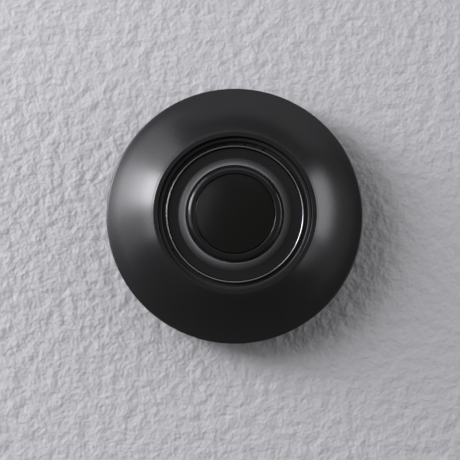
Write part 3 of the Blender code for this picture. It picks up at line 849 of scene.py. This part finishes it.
class DOORBELL_OT_stage(bpy.types.Operator):
    """Set up the wall, the lights and the camera"""

    bl_idname = "doorbell.stage"
    bl_label = "Stage"

    def execute(self, context):
        stage = context.scene.doorbell_stage
        look = context.scene.doorbell_look
        self.wall(look)
        self.lights(stage)
        self.camera(context, stage)
        self.world(context)
        context.scene.view_settings.view_transform = "Standard"
        return {"FINISHED"}

    def wall(self, look):
        half = 0.30
        behind = 0.0002  # clear of the plate's back, so that the two never share a plane
        shape = bmesh.new()
        bmesh.ops.create_grid(shape, x_segments=1, y_segments=1, size=half)
        bmesh.ops.rotate(shape, matrix=Matrix.Rotation(math.pi / 2, 3, "X"), verts=shape.verts)
        bmesh.ops.translate(shape, vec=(0, behind, 0), verts=shape.verts)
        mesh = bpy.data.meshes.new("wall")
        shape.to_mesh(mesh)
        shape.free()
        wall = bpy.data.objects.new("wall", mesh)
        bpy.context.scene.collection.objects.link(wall)
        mesh.materials.append(self.plaster(look))

    def plaster(self, look):
        """Rough plaster that is clear from behind and lets every light's rays through."""
        made = bpy.data.materials.new("plaster")
        made.use_nodes = True
        graph = Graph(made.node_tree)
        coarse = graph.noise(250, 2, 0.5)
        fine = graph.noise(800, 2, 0.5)
        shader = graph.node(
            "ShaderNodeBsdfPrincipled",
            None,
            {
                "Base Color": tint(look.wall_colour, 1.0),
                "Roughness": 0.95,
                "Specular IOR Level": 0.2,
                "Normal": graph.bump(coarse * 0.8 + fine * 0.2, 0.0012),
            },
        )
        behind = graph.node("ShaderNodeNewGeometry", output=6)
        shadow = graph.node("ShaderNodeLightPath", output=1)
        open_side = graph.node("ShaderNodeMath", {"operation": "MAXIMUM"}, {0: behind, 1: shadow})
        clear = graph.node("ShaderNodeBsdfTransparent")
        both = graph.node("ShaderNodeMixShader", None, {0: open_side, 1: shader, 2: clear})
        graph.node("ShaderNodeOutputMaterial", None, {0: both})
        return made

    def lights(self, stage):
        """Panels of light by direction: degrees off the straight view, and clockwise from the right."""
        key = stage.key_radiance
        for name, off, around, level in (
            ("key_low", (74, 90), (191, 213), 1.50),
            ("key_middle", (58, 74), (191, 213), 1.05),
            ("key_high", (40, 58), (191, 213), 0.85),
            ("key_front", (26, 40), (191, 213), 0.42),
            ("left_front", (12, 40), (169, 236), 0.055),
            ("spill_below_low", (78, 90), (169, 191), 0.38),
            ("spill_below", (40, 78), (169, 191), 0.13),
            ("spill_above", (40, 90), (214, 236), 0.18),
            ("right_strip", (70, 90), (327, 371), 0.42),
            ("right_spill", (76, 90), (12, 34), 0.12),
            ("right_panel", (40, 78), (327, 394), 0.025),
            ("top_panel", (40, 72), (237, 326), 0.042),
            ("top_front", (22, 40), (237, 326), 0.045),
        ):
            self.panel(name, off, around, key * level)
        self.panel("rear_fill", (120, 160), (220, 280), key * 0.25)

    def panel(self, name, off, around, radiance):
        """An area light a metre away that spans the given angles and faces the doorbell."""
        distance = 1.0
        off_middle = math.radians(sum(off) / 2)
        around_middle = math.radians(sum(around) / 2)
        sine, cosine = math.sin(off_middle), math.cos(off_middle)
        right, down = math.cos(around_middle), math.sin(around_middle)
        towards = Vector((sine * right, -cosine, -sine * down))
        outward = Vector((cosine * right, sine, -cosine * down))
        data = bpy.data.lights.new(name, "AREA")
        data.shape = "RECTANGLE"
        data.size = 2 * distance * math.tan(math.radians(off[1] - off[0]) / 2)
        data.size_y = 2 * distance * sine * math.sin(math.radians(around[1] - around[0]) / 2)
        data.color = (0.985, 0.985, 1.04)
        data.energy = radiance * math.pi * data.size * data.size_y
        light = bpy.data.objects.new(name, data)
        bpy.context.scene.collection.objects.link(light)
        turn = Matrix((outward, towards.cross(outward), towards)).transposed()
        light.matrix_world = Matrix.Translation(towards * distance) @ turn.to_4x4()

    def camera(self, context, stage):
        """Looks a little upwards at a point just below and beside the doorbell's middle."""
        data = bpy.data.cameras.new("camera")
        data.sensor_width = 36
        data.lens = data.sensor_width * stage.camera_distance / stage.field
        camera = bpy.data.objects.new("camera", data)
        context.scene.collection.objects.link(camera)
        aim = Vector((-0.00151, 0, -0.00319))
        away = Vector((0, -math.cos(stage.camera_rise), math.sin(stage.camera_rise)))
        camera.location = aim + away * stage.camera_distance
        camera.rotation_euler = away.to_track_quat("Z", "Y").to_euler()
        context.scene.camera = camera

    def world(self, context):
        """A pale backdrop that adds only a little light of its own."""
        world = bpy.data.worlds.new("studio")
        context.scene.world = world
        world.use_nodes = True
        graph = Graph(world.node_tree)
        seen = graph.node("ShaderNodeLightPath", output=0)
        strength = seen * 0.45 + 0.13
        background = graph.node("ShaderNodeBackground", None, {"Color": (1, 1, 1, 1), "Strength": strength})
        graph.node("ShaderNodeOutputWorld", None, {0: background})


# ---------------------------------------------------------------- add-on


STEPS = (
    DOORBELL_OT_flange,
    DOORBELL_OT_dish,
    DOORBELL_OT_button,
    DOORBELL_OT_back,
    DOORBELL_OT_electronics,
    DOORBELL_OT_stage,
)


class DOORBELL_PT_panel(bpy.types.Panel):
    """Lists the doorbell's settings and building steps"""

    bl_label = "Doorbell"
    bl_idname = "DOORBELL_PT_panel"
    bl_space_type = "VIEW_3D"
    bl_region_type = "UI"
    bl_category = "Doorbell"

    def draw(self, context):
        column = self.layout.column()
        scene = context.scene
        for group in (scene.doorbell_sizes, scene.doorbell_look, scene.doorbell_stage):
            for name in group.__annotations__:
                column.prop(group, name)
        for step in STEPS:
            column.operator(step.bl_idname)


GROUPS = {
    "doorbell_sizes": DoorbellSizes,
    "doorbell_look": DoorbellLook,
    "doorbell_stage": DoorbellStage,
}


def register():
    for made in (*GROUPS.values(), *STEPS, DOORBELL_PT_panel):
        bpy.utils.register_class(made)
    for name, group in GROUPS.items():
        setattr(bpy.types.Scene, name, PointerProperty(type=group))


def unregister():
    for name in GROUPS:
        delattr(bpy.types.Scene, name)
    for made in (DOORBELL_PT_panel, *reversed(STEPS), *GROUPS.values()):
        bpy.utils.unregister_class(made)


def main():
    register()
    bpy.ops.doorbell.flange()
    bpy.ops.doorbell.dish()
    bpy.ops.doorbell.button()
    bpy.ops.doorbell.back()
    bpy.ops.doorbell.electronics()
    bpy.ops.doorbell.stage()


if __name__ == "__main__":
    main()
